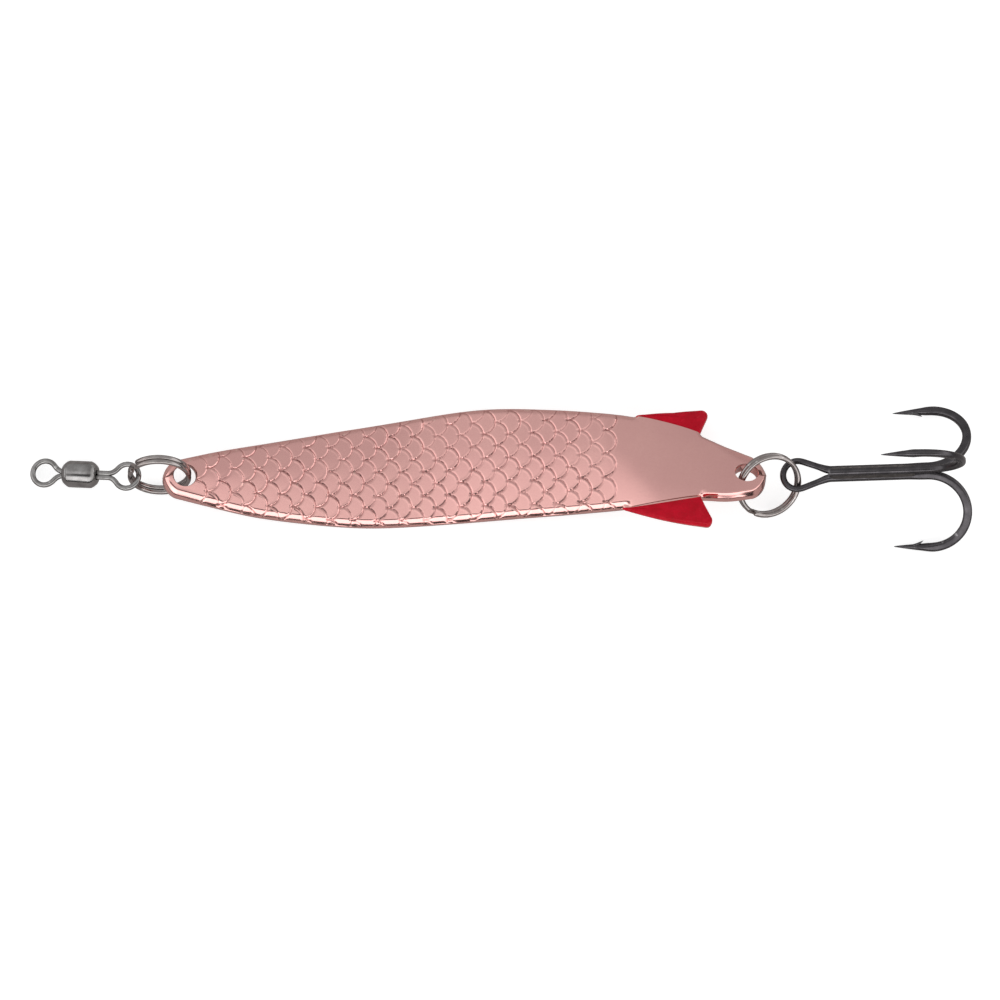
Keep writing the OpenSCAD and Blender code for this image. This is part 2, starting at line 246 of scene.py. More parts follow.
def scale_relief(s, y):
    """Height of the stamped scales at a point, and how deep in a groove it is, from 0 to 1."""
    relief, groove = np.zeros_like(s), np.zeros_like(s)
    column = np.round((LAST_COLUMN - s) / COLUMN_STEP)
    for dk in (-1, 0, 1, 2):
        k = column + dk
        phase = ROW_PHASE + np.where(k % 2 == 0, 0, ROW_STEP / 2)
        row = np.round((y - phase) / ROW_STEP)
        for dj in (-1, 0, 1):
            j = row + dj
            cx = LAST_COLUMN - k * COLUMN_STEP + (hashed(k, j, 1) - 0.5) * 0.16
            cy = phase + j * ROW_STEP + (hashed(k, j, 2) - 0.5) * 0.16
            r = SCALE_R + (hashed(k, j, 3) - 0.5) * 0.1
            dx, dy = s - cx, y - cy
            away = np.hypot(dx, dy) - r
            reach = 0.25 + 0.35 * hashed(k, j, 4)
            live = ease((dx + reach) / reach) * (k >= 0) * ease((cx + r - FIRST_ARC) / 0.5)
            live = live * ease((r * 1.25 - np.abs(dy)) / 0.3)
            deep = (0.65 + 0.5 * hashed(k, j, 5)) * live
            line = np.exp(-((away / (GROOVE_HALF * 0.62)) ** 2)) * deep
            lip = np.exp(-(((away + 0.22) / 0.13) ** 2)) * deep * 0.38
            relief = np.where(line > groove, -line, relief)
            relief = np.where((groove > 0.25) | (line > 0.25), relief, np.maximum(relief, lip))
            groove = np.maximum(groove, line)
    return relief * GROOVE_DEPTH, np.clip(groove, 0, 1)


def bevel(d, width, share, degrees):
    """The fall at a distance from the outline: the slope at each share of the way across the bevel."""
    slope = np.tan(np.radians(degrees))
    fall = np.concatenate([[0], np.cumsum((slope[1:] + slope[:-1]) / 2 * np.diff(share))])
    return width * np.interp(1 - np.clip(d / width, 0, 1), share, fall)


def rim_drop(d):
    """How far the face falls towards the outline: a broad bevel, a narrow one, and the sheet's edge."""
    share = [0, 0.1, 0.2, 0.3, 0.62, 0.7, 0.75, 0.95, 1.0]
    return bevel(d, RIM, share, [0, 9, 24, 30, 37, 44, 48, 51, 74])


def rim_fall(s, side, d):
    """The fall at a point: none where a fin grows from the sheet, narrow and steep by the tail hole."""
    top_fin = ease((s - 66.2) / 1.0) * ease((76.2 - s) / 0.7) * (side > 0)
    low_fin = ease((s - 64.8) / 1.4) * ease((76.0 - s) / 0.7) * (side < 0)
    tail = ease((s - 75.6) / 0.8) * ease(-side / 0.35)
    steep = bevel(d, TAIL_RIM, [0, 0.15, 0.3, 1], [0, 45, 70, 75])
    return (rim_drop(d) * (1 - tail) + steep * tail) * (1 - top_fin) * (1 - low_fin)


def edge_distance(s, y):
    """Distance in the blade's own plane from each point to its outline."""
    line = np.concatenate([HEAD_ROUND * (1 - np.cos(np.linspace(0, math.pi / 2, 40))),
                           np.linspace(HEAD_ROUND, BLADE_LEN - TAIL_ROUND, 700)[1:-1],
                           BLADE_LEN - TAIL_ROUND * (1 - np.cos(np.linspace(math.pi / 2, 0, 40)))])
    m, w = outline(line)
    out = np.full(s.shape, 9.0)
    for edge in (m + w, m - w):
        for c in range(0, s.shape[0], 60):
            block = slice(c, c + 60)
            lo, hi = s[block].min() - 3, s[block].max() + 3
            near = (line >= lo) & (line <= hi)
            px, py = line[near], edge[near]
            dx, dy = s[block][..., None] - px, y[block][..., None] - py
            out[block] = np.minimum(out[block], np.sqrt((dx * dx + dy * dy).min(-1)))
    return out


def blade_mesh():
    stations = np.concatenate([
        HEAD_ROUND * (1 - np.cos(np.radians(np.arange(2, 90, 5)))),
        np.arange(HEAD_ROUND, 64.4, 0.115),
        np.arange(64.4, BLADE_LEN - TAIL_ROUND, 0.24),
        BLADE_LEN - TAIL_ROUND * (1 - np.cos(np.radians(np.arange(90, 1, -5))))])
    m, w = outline(stations)
    rim = np.minimum(RIM, 0.62 * w)
    inner = np.linspace(1, -1, 87)
    arc = 1 - np.array([0, 0.025, 0.05, 0.14, 0.24, 0.3, 0.38, 0.54, 0.7, 0.8, 0.9])
    y_up = [m + w - rim * (1 - a) for a in arc]
    y_mid = [m + v * (w - rim) for v in inner]
    y_low = [m - w + rim * (1 - a) for a in arc[::-1]]
    y = np.stack(y_up + y_mid + y_low, 1)
    s = np.repeat(stations[:, None], y.shape[1], 1)
    f = np.abs(y - m[:, None]) / np.maximum(w[:, None], 1e-6)
    d = edge_distance(s, y)
    d[:, 0] = d[:, -1] = 0
    relief, groove = scale_relief(s, y)
    fade = ease(d / 0.25)
    side = (y - m[:, None]) / np.maximum(w[:, None], 1e-6)
    h_top = SHEET / 2 - CROWN * f**2 - rim_fall(s, side, d) + relief * fade
    top = on_blade(s, y, h_top)
    # the sheet's edge and the plain underside
    shares = [0.3, 0.65, 0.92]
    base = -SHEET / 2 - CROWN
    side_low = [on_blade(stations, m - w, h_top[:, -1] + (base + 0.12 - h_top[:, -1]) * q) for q in shares]
    side_up = [on_blade(stations, m + w, h_top[:, 0] + (base + 0.12 - h_top[:, 0]) * q) for q in shares[::-1]]
    under = []
    for v in np.concatenate([[-0.985], np.linspace(-0.93, 0.93, 15), [0.985]]):
        under.append(on_blade(stations, m + v * w, -SHEET / 2 - CROWN * v * v + 0 * stations))
    points = np.concatenate([top, np.stack(side_low, 1), np.stack(under, 1), np.stack(side_up, 1)], 1)
    rows, columns = points.shape[:2]
    marks = np.zeros((rows, columns))
    # groove depth for the material, which darkens the grooves with painted shade and roughens them
    marks[:, :y.shape[1]] = groove * fade
    faces = grid_faces(rows, columns)
    first, last = len(points.reshape(-1, 3)), len(points.reshape(-1, 3)) + 1
    tips = on_blade(np.array([0.0, BLADE_LEN]), outline(np.array([0.001, BLADE_LEN - 0.001]))[0],
                    np.array([-0.35, -0.35]))
    faces += [[first, (j + 1) % columns, j] for j in range(columns)]
    end = (rows - 1) * columns
    faces += [[last, end + j, end + (j + 1) % columns] for j in range(columns)]
    points = np.vstack([points.reshape(-1, 3), tips])
    values = {"groove": np.concatenate([marks.ravel(), [0, 0]])}
    obj = make("blade", points, faces, values=values)
    face_out(obj)
    return obj


def hole_cutter(s, y, d):
    """A round cutter with flared, rounded ends."""
    r, flare = d / 2, 0.34
    half = SHEET / 2
    profile = [(r + 1.4, half + 1.2)]
    profile += [(r + flare * (1 - math.cos(a)), half - flare * 0.85 + flare * math.sin(a))
                for a in np.radians([90, 72, 54, 36, 18, 0])]
    profile += [(r, 0.0)]
    low = [(p, -q) for p, q in profile[:-1]][::-1]
    profile = profile + low
    around = 96
    a = np.linspace(0, 2 * math.pi, around, endpoint=False)
    pts = np.array([[p * np.cos(a), p * np.sin(a), np.full(around, q)] for p, q in profile])
    pts = pts.transpose(0, 2, 1).reshape(-1, 3)
    along, across, _ = blade_axes(np.array(s))
    pts = placed(pts, on_blade(np.array(s), np.array(y), np.array(0.0)), along, across)
    n = len(profile)
    faces = grid_faces(n, around) + end_caps(n, around)
    obj = make("cutter", pts, faces)
    face_out(obj)
    return obj


def cut(obj, cutter):
    mod = obj.modifiers.new("cut", "BOOLEAN")
    mod.operation, mod.object, mod.solver = "DIFFERENCE", cutter, "EXACT"
    bpy.context.view_layer.objects.active = obj
    bpy.context.view_layer.update()
    depsgraph = bpy.context.evaluated_depsgraph_get()
    mesh = bpy.data.meshes.new_from_object(obj.evaluated_get(depsgraph))
    obj.modifiers.clear()
    obj.data = mesh
    bpy.data.objects.remove(cutter)


# ---- Fins
def rounded(points, r, steps=7):
    """A polygon with its corners rounded."""
    p, out = np.array(points, float), []
    n = len(p)
    for i in range(n):
        a, b, c = p[i - 1], p[i], p[(i + 1) % n]
        u, v = unit(a - b), unit(c - b)
        half = math.acos(np.clip(np.dot(u, v), -1, 1)) / 2
        cut_back = min(r / math.tan(half), 0.45 * np.linalg.norm(a - b), 0.45 * np.linalg.norm(c - b))
        rr = cut_back * math.tan(half)
        centre = b + unit(u + v) * rr / math.sin(half)
        start, stop = b + u * cut_back - centre, b + v * cut_back - centre
        turn = math.atan2(start[0] * stop[1] - start[1] * stop[0], np.dot(start, stop))
        for k in range(steps + 1):
            t = turn * k / steps
            out.append(centre + [start[0] * math.cos(t) - start[1] * math.sin(t),
                                 start[0] * math.sin(t) + start[1] * math.cos(t)])
    return np.array(out)


def inset(loop, d):
    """The loop moved inwards by d along its corners' normals."""
    ahead, behind = np.roll(loop, -1, 0) - loop, loop - np.roll(loop, 1, 0)
    def normal(e):
        return unit(np.stack([-e[:, 1], e[:, 0]], 1))
    n = unit(normal(ahead) + normal(behind))
    area = (loop[:, 0] * np.roll(loop[:, 1], -1) - np.roll(loop[:, 0], -1) * loop[:, 1]).sum()
    return loop + n * d * (1 if area > 0 else -1)


def resampled(loop, step):
    """The closed loop with points evenly spaced."""
    shut = np.vstack([loop, loop[:1]])
    length = np.concatenate([[0], np.cumsum(np.linalg.norm(np.diff(shut, axis=0), axis=1))])
    at = np.linspace(0, length[-1], int(length[-1] / step), endpoint=False)
    return np.stack([np.interp(at, length, shut[:, k]) for k in range(2)], 1)


def slab(name, loop, levels, spine):
    """A piece on the blade's twisted surface: levels are (inset, height) from the bottom to the top.
    Points move towards the spine, a line down the middle, and stop short of it."""
    a, b = (np.array(p, float) for p in spine)
    share = np.clip(((loop - a) @ (b - a)) / ((b - a) @ (b - a)), 0, 1)
    inward = a + share[:, None] * (b - a) - loop
    reach = np.linalg.norm(inward, axis=1, keepdims=True)

    def moved(d):
        return loop + inward / reach * np.minimum(d, 0.62 * reach)

    rings, heights = [], []
    for q in (0.9, 0.6, 0.3):
        base = moved(levels[0][0])
        rings.append(base + (loop + inward - base) * q)
        heights.append(levels[0][1])
    for d, h in levels:
        rings.append(moved(d))
        heights.append(h)
    for q in (0.3, 0.6, 0.9):
        base = moved(levels[-1][0])
        rings.append(base + (loop + inward - base) * q)
        heights.append(levels[-1][1])
    flat = np.vstack(rings)
    pts = on_blade(flat[:, 0], flat[:, 1], np.repeat(heights, len(loop)))
    n, k = len(rings), len(loop)
    faces = grid_faces(n, k) + end_caps(n, k)
    obj = make(name, pts, faces)
    face_out(obj)
    sharpen(obj, 40)
    return obj


def clip_line(loop, a, b):
    """The part of a polygon to the left of the line from a to b."""
    a, b = np.array(a, float), np.array(b, float)
    side = [(b[0] - a[0]) * (p[1] - a[1]) - (b[1] - a[1]) * (p[0] - a[0]) for p in loop]
    out = []
    for i in range(len(loop)):
        j = (i + 1) % len(loop)
        if side[i] >= 0:
            out.append(loop[i])
        if side[i] * side[j] < 0:
            out.append(loop[i] + (loop[j] - loop[i]) * side[i] / (side[i] - side[j]))
    return np.array(out)


def fin(name, points, spine):
    loop = resampled(rounded(points, FIN_TIP), 0.14)
    low = FIN_TOP - FIN_T
    levels = [(0.22, low), (0.07, low + 0.06), (0, low + 0.2), (0, FIN_TOP - 0.3),
              (0.09, FIN_TOP - 0.1), (0.25, FIN_TOP - 0.02), (0.45, FIN_TOP)]
    return slab(name, loop, levels, spine)


def fin_enamel(name, points, root, spine):
    """Enamel over a fin's front and round its edge, as far as the blade's own rim."""
    whole = inset(rounded(points, FIN_TIP), -0.045)
    loop = resampled(clip_line(whole, *root), 0.11)
    low = FIN_TOP - FIN_T
    levels = [(0.06, low + 0.3), (0, low + 0.38), (-0.01, FIN_TOP - 0.32), (0.03, FIN_TOP - 0.13),
              (0.12, FIN_TOP), (0.26, FIN_TOP + 0.055), (0.48, FIN_TOP + 0.08), (0.7, FIN_TOP + 0.09)]
    return slab(name, loop, levels, spine)


# ---- Split rings: wire, middles, planes and where each coil steps across, in mm and degrees.
# The wire is 0.03 thinner than the CAD's, so that its squarer section stays inside the CAD's round one.
RING_WIRE, FRONT_R, REAR_R, FRONT_STEP_AT, REAR_STEP_AT = 0.69, 4.14, 4.44, 146, 233
FRONT_MID, FRONT_UP = np.array([-48.05, -0.3, 4.45]), (0, 0.293, 0.956)
REAR_MID, REAR_LEAN, REAR_TURN = np.array([37.9115, -1.7215, 4.0048]), math.radians(38), math.radians(20)
SWIVEL_LINK, SWIVEL_DIR = np.array([-52.1673, -0.4268, 4.0362]), (-0.9712, 0.0942, -0.219)
EYE_SEAT = 0.55
TREBLE_AT, TREBLE_TURN = math.radians(12), (9.8, -0.6, 2.0)


def split_ring(name, mid, along, up, r, joggle_at, wire):
    gap, step = math.radians(7), wire / 2 + 0.006
    a = np.linspace(gap, 4 * math.pi - gap, 420)
    z = step - 2 * step * ease((a - (2 * math.pi - gap * 1.3)) / (2.6 * gap))
    turn = math.radians(joggle_at)
    path = np.stack([r * np.cos(a + turn), r * np.sin(a + turn), z], 1)
    size = np.full(len(a), wire / 2)
    size[[0, -1]] *= 0.8
    size[[1, -2]] *= 0.97
    pts, faces, uv = tube(path, (0, 0, 1), size, size, around=28, power=2.25)
    pts = placed(pts, mid, along, up)
    obj = make(name, pts, faces, uv=uv)
    face_out(obj)
    sharpen(obj, 50)
    return obj


# ---- Swivel
EYE_R, EYE_WIRE, NECK_GAP, NECK_R = 1.75, 0.375, 0.3, 0.36
BARREL_AT, LINE_EYE_AT, BARREL_LEN, BARREL_R, WALL = 6.85, 12.15, 5.0, 1.9, 0.55


def bezier(a, b, c, d, n):
    t = np.linspace(0, 1, n)[:, None]
    a, b, c, d = (np.array(p, float) for p in (a, b, c, d))
    return (1 - t) ** 3 * a + 3 * (1 - t) ** 2 * t * b + 3 * (1 - t) * t * t * c + t**3 * d


def eye_path(neck_end):
    """One wire: out along the neck, round the eye and back, in the eye's plane with its neck along +X."""
    lead = math.radians(40)
    p = [EYE_R * math.cos(lead), EYE_R * math.sin(lead), 0]
    pull = 0.75
    flare = bezier([2.9, NECK_GAP, 0], [2.2, NECK_GAP, 0],
                   [p[0] + pull * math.sin(lead), p[1] - pull * math.cos(lead), 0], p, 16)
    neck = np.array([[neck_end, NECK_GAP, 0], [(neck_end + 2.9) / 2, NECK_GAP, 0]])
    a = np.linspace(lead, 2 * math.pi - lead, 90)[1:-1]
    loop = np.stack([EYE_R * np.cos(a), EYE_R * np.sin(a), 0 * a], 1)
    first = np.vstack([neck, flare])
    back = first[::-1] * [1, -1, 1]
    return np.vstack([first, loop, back])


def wire_eye(name, place, flip, middle, neck_end):
    path, _ = spaced(eye_path(neck_end), 0.1)
    size = np.where(path[:, 0] > 2.4, NECK_R, EYE_WIRE)
    size = np.convolve(np.pad(size, 6, mode="edge"), np.ones(13) / 13, mode="valid")
    pts, faces, uv = tube(path, (0, 0, 1), size, size, around=26, power=2.15)
    pts = pts * [flip, flip, 1] + [middle, 0, 0]
    obj = make(name, placed(pts, *place), faces, uv=uv)
    face_out(obj)
    sharpen(obj, 50)
    return obj


def barrel(name, place):
    half, r = BARREL_LEN / 2, BARREL_R
    bore, inner = NECK_GAP + NECK_R + 0.09, BARREL_LEN / 2 - WALL
    right = [(half - 0.95, r), (half - 0.86, r - 0.015), (half - 0.8, r - 0.075), (half - 0.74, r - 0.1),
             (half - 0.68, r - 0.1), (half - 0.55, r - 0.18), (half - 0.4, r - 0.29), (half - 0.25, r - 0.42),
             (half - 0.12, r - 0.54), (half - 0.03, r - 0.68), (half, r - 0.83), (half - 0.02, bore + 0.12),
             (half - 0.1, bore)]
    inside = [(inner, bore), (inner, r - 0.55)]
    curve = right + inside
    profile = curve + [(-x, q) for x, q in curve[::-1]]
    around = 72
    a = np.linspace(0, 2 * math.pi, around, endpoint=False)
    pts = np.array([[np.full(around, BARREL_AT + x), q * np.cos(a), q * np.sin(a)] for x, q in profile])
    pts = pts.transpose(0, 2, 1).reshape(-1, 3)
    uv = np.array([(x, b) for x, _ in profile for b in a])
    obj = make(name, placed(pts, *place), grid_faces(len(profile), around, closed_rows=True), uv=uv)
    face_out(obj)
    sharpen(obj, 42)
    return obj


# ---- Treble hook, drawn with its shank along +X from the middle of the eye. The eye's wire is 0.02
# thinner than the CAD's, for room at the end of the treble's swing.
SHANK, REACH, HOOK_R, TREBLE_EYE_R = 18.4, 11.4, 0.575, 0.45
SHANK_RING, EYE_LOOP, NECK_S, LEG, POINT, BEND_TURN = 0.668, 2.05, 4.3, 0.9, 4.2, 183


def hook_path(x0):
    """Middle line of one hook in its XZ plane, from the shank's front end to the point."""
    r = (REACH - SHANK_RING) / 2
    a = np.radians(np.linspace(-90, BEND_TURN - 90, 90))
    bend = np.stack([SHANK + r * np.cos(a), 0 * a, SHANK_RING + r + r * np.sin(a)], 1)
    heading = np.array([-math.sin(a[-1]), 0, math.cos(a[-1])])
    shank = np.array([[x0, 0, SHANK_RING], [(x0 + SHANK) / 2, 0, SHANK_RING]])
    leg = bend[-1] + np.array([[0.5], [LEG], [LEG + POINT / 2], [LEG + POINT]]) * heading
    return np.vstack([shank, bend, leg])


def hook_sizes(at, shank_end, total):
    """Half widths sideways and in the hook's plane: forged flat round the bend, tapering to the point."""
    bend_len = math.radians(BEND_TURN) * (REACH - SHANK_RING) / 2
    into = ease((at - shank_end + 3.2) / 3.0) * ease((shank_end + bend_len + 1.0 - at) / 2.0)
    to_tip = np.clip((total - at) / (POINT + 0.4), 0, 1)
    taper = 0.035 + (HOOK_R - 0.035) * np.minimum(1, to_tip ** 0.82)
    return taper * (1 - 0.14 * into), taper * (1 + 0.1 * into), 2.0 + 1.3 * into


def turned(points, degrees):
    a = math.radians(degrees)
    c, s = math.cos(a), math.sin(a)
    return points @ np.array([[1, 0, 0], [0, c, s], [0, -s, c]])


def barb(heading_from, heading):
    """A sliver cut from the inner side of the point and lifted, pointing back at the bend."""
    inward = np.array([heading[2], 0, -heading[0]])
    inward = inward if inward[2] < 0 else -inward
    base = heading_from + heading * (LEG + 1.35)
    t = np.linspace(0, 1, 9)[:, None]
    path = base + inward * (0.18 + 0.8 * t**1.25) - heading * (1.35 * t)
    wide = 0.24 * (1 - t[:, 0]) ** 0.7 + 0.02
    return tube(path, (0, 1, 0), wide * 1.25, wide, around=12)


def hook_parts(x0):
    path, at = spaced(hook_path(x0), 0.14)
    shank_end = SHANK - x0
    wide, deep, power = hook_sizes(at, shank_end, at[-1])
    blunt = np.where(at < 0.12, 0.9, 1.0)
    pts, faces, uv = tube_power(path, (0, 1, 0), wide * blunt, deep * blunt, power, 24)
    r = (REACH - SHANK_RING) / 2
    a = math.radians(BEND_TURN - 90)
    end = np.array([SHANK + r * math.cos(a), 0, SHANK_RING + r + r * math.sin(a)])
    heading = np.array([-math.sin(a), 0, math.cos(a)])
    return (pts, faces, uv), barb(end, heading)


def tube_power(path, side, half_side, half_out, power, around):
    """A tube whose section's squareness changes along it."""
    pts, faces, uv = tube(path, side, half_side, half_out, around=around)
    n = len(path)
    grid = pts.reshape(n, around, 3)
    off = grid - np.asarray(path)[:, None]
    a = np.linspace(0, 2 * math.pi, around, endpoint=False)
    c, s = np.abs(np.cos(a)), np.abs(np.sin(a))
    p = np.asarray(power)[:, None]
    grow = 1 / np.maximum((c[None] ** p + s[None] ** p) ** (1 / p), 1e-9)
    return (np.asarray(path)[:, None] + off * grow[..., None]).reshape(-1, 3), faces, uv


def eye_and_neck():
    """Middle line from one lower shank's front end round the eye to the other's."""
    side = SHANK_RING * math.sin(math.radians(60))
    low = -SHANK_RING / 2
    touch = math.atan2(side, NECK_S) + math.acos(EYE_LOOP / math.hypot(NECK_S, side))
    a = np.linspace(touch, 2 * math.pi - touch, 90)
    loop = np.stack([EYE_LOOP * np.cos(a), EYE_LOOP * np.sin(a), np.full(len(a), low)], 1)
    lead = np.array([[NECK_S + 1.2, side, low], [NECK_S + 0.1, side, low]])
    return np.vstack([lead, loop, lead[::-1] * [1, -1, 1]])


def treble_place():
    """The treble's own axes in the frame, as the CAD sets them."""
    pitch, yaw, roll = np.radians(TREBLE_TURN)
    cp, sp, cy, sy, cr, sr = (math.cos(pitch), math.sin(pitch), math.cos(yaw), math.sin(yaw),
                              math.cos(roll), math.sin(roll))
    ry = np.array([[cp, 0, -sp], [0, 1, 0], [sp, 0, cp]])
    rz = np.array([[cy, -sy, 0], [sy, cy, 0], [0, 0, 1]])
    rx = np.array([[1, 0, 0], [0, cr, -sr], [0, sr, cr]])
    return rz @ ry @ rx


def treble(place_from):
    turn = treble_place()

    def put(points):
        return (points + [0, 0, SHANK_RING / 2]) @ turn.T + place_from

    lower = []
    for angle in (-120, 120):
        for pts, faces, uv in hook_parts(NECK_S):
            lower.append((turned(pts, angle), faces, uv))
    neck, _ = spaced(eye_and_neck(), 0.05)
    neck = relaxed(neck, 90)
    neck, _ = spaced(neck, 0.12)
    size = TREBLE_EYE_R + (HOOK_R - 0.01 - TREBLE_EYE_R) * ease((neck[:, 0] - NECK_S + 1.6) / 1.8)
    lower.append(tube(neck, (0, 0, 1), size, size, around=26, power=2.1))
    pts, faces, uv = joined(*lower)
    double = make("treble_lower_hooks_and_eye", put(pts), faces, uv=uv)
    pts, faces, uv = joined(*hook_parts(NECK_S + 0.35))
    single = make("treble_upper_hook", put(pts), faces, uv=uv)
    for obj in (double, single):
        face_out(obj)
        sharpen(obj, 50)
    return double, single, put


def braze(put):
    """Brazing metal that fills the three grooves between the shank wires, ragged at its ends."""
    x = np.linspace(NECK_S + 0.55, SHANK - 1.7, 90)
    a = np.linspace(0, 2 * math.pi, 72, endpoint=False)
    ends = np.minimum(1, np.minimum((x - x[0]) / 1.0, (x[-1] - x) / 1.8))
    rings = []
    for i, xi in enumerate(x):
        ragged = 0.03 * np.sin(xi * 2.3 + 3 * a) + 0.02 * np.sin(xi * 5.1 + a * 2)
        fill = 0.80 + 0.15 * math.sqrt(max(0, ends[i])) + ragged * (0.4 + 0.6 * (1 - ends[i]))
        # deepest between the wires, which stand at 90, 210 and 330 degrees from +Y
        r = fill * (1 - 0.09 * (0.5 + 0.5 * np.cos(3 * (a - math.radians(30)))))
        rings.append(np.stack([np.full(len(a), xi), r * np.cos(a), r * np.sin(a)], 1))
    pts = np.vstack(rings)
    n, k = len(x), len(a)
    faces = grid_faces(n, k) + end_caps(n, k)
    obj = make("treble_braze_fillets", put(pts), faces)
    face_out(obj)
    sharpen(obj, 50)
    return obj


# ---- Materials
class Nodes:
    """A short way to write a node material. Keys of add() are socket names, i and a number, or set_
    and a property."""

    def __init__(self, name):
        self.material = bpy.data.materials.new(name)
        self.material.use_nodes = True
        self.tree = self.material.node_tree
        self.shader = self.tree.nodes["Principled BSDF"]

    def add(self, kind, **inputs):
        node = self.tree.nodes.new(kind)
        for key, value in inputs.items():
            if key.startswith("set_"):
                setattr(node, key[4:], value)
                continue
            numbered = key[0] == "i" and key[1:].isdigit()
            socket = node.inputs[int(key[1:]) if numbered else key.replace("_", " ")]
            if isinstance(value, bpy.types.NodeSocket):
                self.tree.links.new(value, socket)
            else:
                socket.default_value = value
        return node

    def link(self, source, name):
        self.tree.links.new(source, self.shader.inputs[name])

    def coordinates(self, scale=(1, 1, 1)):
        """Object coordinates in mm, stretched by scale."""
        coord = self.add("ShaderNodeTexCoord")
        return self.add("ShaderNodeMapping", Vector=coord.outputs["Object"],
                        Scale=tuple(1000 * k for k in scale)).outputs[0]

    def noise(self, vector, size, detail=4.0, rough=0.55):
        """Noise whose features are about this many mm across."""
        return self.add("ShaderNodeTexNoise", Vector=vector, Scale=1 / size, Detail=detail,
                        Roughness=rough).outputs["Fac"]

    def remap(self, value, low, high, to_low, to_high):
        node = self.add("ShaderNodeMapRange", Value=value)
        node.inputs["From Min"].default_value, node.inputs["From Max"].default_value = low, high
        node.inputs["To Min"].default_value, node.inputs["To Max"].default_value = to_low, to_high
        return node.outputs[0]

    def math(self, operation, a, b=0.0):
        return self.add("ShaderNodeMath", set_operation=operation, i0=a, i1=b).outputs[0]

    def mix(self, factor, a, b, blend="MIX"):
        node = self.add("ShaderNodeMix", set_data_type="RGBA", set_blend_type=blend)
        for index, value in ((0, factor), (6, a), (7, b)):
            if isinstance(value, bpy.types.NodeSocket):
                self.tree.links.new(value, node.inputs[index])
            else:
                node.inputs[index].default_value = value if index == 0 else (*value, 1)
        return node.outputs[2]

    def bump(self, height, strength=1.0):
        """A normal from a height in mm."""
        return self.add("ShaderNodeBump", Height=height, Distance=MM, Strength=strength).outputs[0]


def copper_plate():
    """Bright copper plating: faint polishing lines, soft tone patches, painted shade in the grooves and
    rubbed edges.
    """
    m = Nodes("copper_plate")
    at = m.coordinates()
    patches = m.noise(at, 6.0, 3)
    fine = m.noise(at, 0.35, 5)
    lines = m.noise(m.coordinates((0.06, 1.6, 1.6)), 0.5, 4)
    groove = m.add("ShaderNodeAttribute", set_attribute_name="groove").outputs["Fac"]
    tone = m.mix(m.remap(patches, 0.3, 0.7, 0, 1), (0.905, 0.492, 0.462), (0.94, 0.525, 0.485))
    tone = m.mix(m.remap(fine, 0.35, 0.75, 0, 0.35), tone, (0.86, 0.45, 0.42))
    # painted shade: the base colour darkens in the stamped scale grooves
    tone = m.mix(m.remap(groove, 0.3, 0.9, 0, 0.72), tone, (0.36, 0.13, 0.12))
    wear = m.add("ShaderNodeNewGeometry").outputs["Pointiness"]
    tone = m.mix(m.remap(wear, 0.52, 0.6, 0, 0.5), tone, (0.98, 0.66, 0.58))
    m.link(tone, "Base Color")
    m.shader.inputs["Metallic"].default_value = 1.0
    rough = m.math("ADD", m.remap(patches, 0.3, 0.7, 0.10, 0.15), m.remap(lines, 0.35, 0.7, 0.0, 0.05))
    m.link(m.math("ADD", rough, m.remap(groove, 0, 1, 0, 0.12)), "Roughness")
    height = m.math("ADD", m.remap(lines, 0, 1, 0, 0.0016), m.remap(fine, 0, 1, 0, 0.0022))
    m.link(m.bump(height), "Normal")
    return m.material


def red_enamel():
    """Glossy red enamel with pooled colour and a slight orange peel."""
    m = Nodes("red_enamel")
    at = m.coordinates()
    cloud = m.noise(at, 1.4, 4)
    peel = m.noise(at, 0.28, 2)
    specks = m.noise(at, 0.06, 2)
    tone = m.mix(m.remap(cloud, 0.3, 0.7, 0, 1), (0.42, 0.001, 0.011), (0.56, 0.002, 0.019))
    tone = m.mix(m.remap(specks, 0.66, 0.74, 0, 0.4), tone, (0.58, 0.04, 0.06))
    wear = m.add("ShaderNodeNewGeometry").outputs["Pointiness"]
    tone = m.mix(m.remap(wear, 0.53, 0.62, 0, 0.5), tone, (0.62, 0.06, 0.07))
    m.link(tone, "Base Color")
    m.link(m.remap(cloud, 0.3, 0.7, 0.2, 0.3), "Roughness")
    m.shader.inputs["Specular IOR Level"].default_value = 0.08
    m.shader.inputs["Coat Weight"].default_value = 0.12
    m.shader.inputs["Coat Roughness"].default_value = 0.08
    height = m.math("ADD", m.remap(peel, 0, 1, 0, 0.012), m.remap(cloud, 0, 1, 0, 0.03))
    m.link(m.bump(height, 0.8), "Normal")
    return m.material


WIRE_WEAR = 0.53


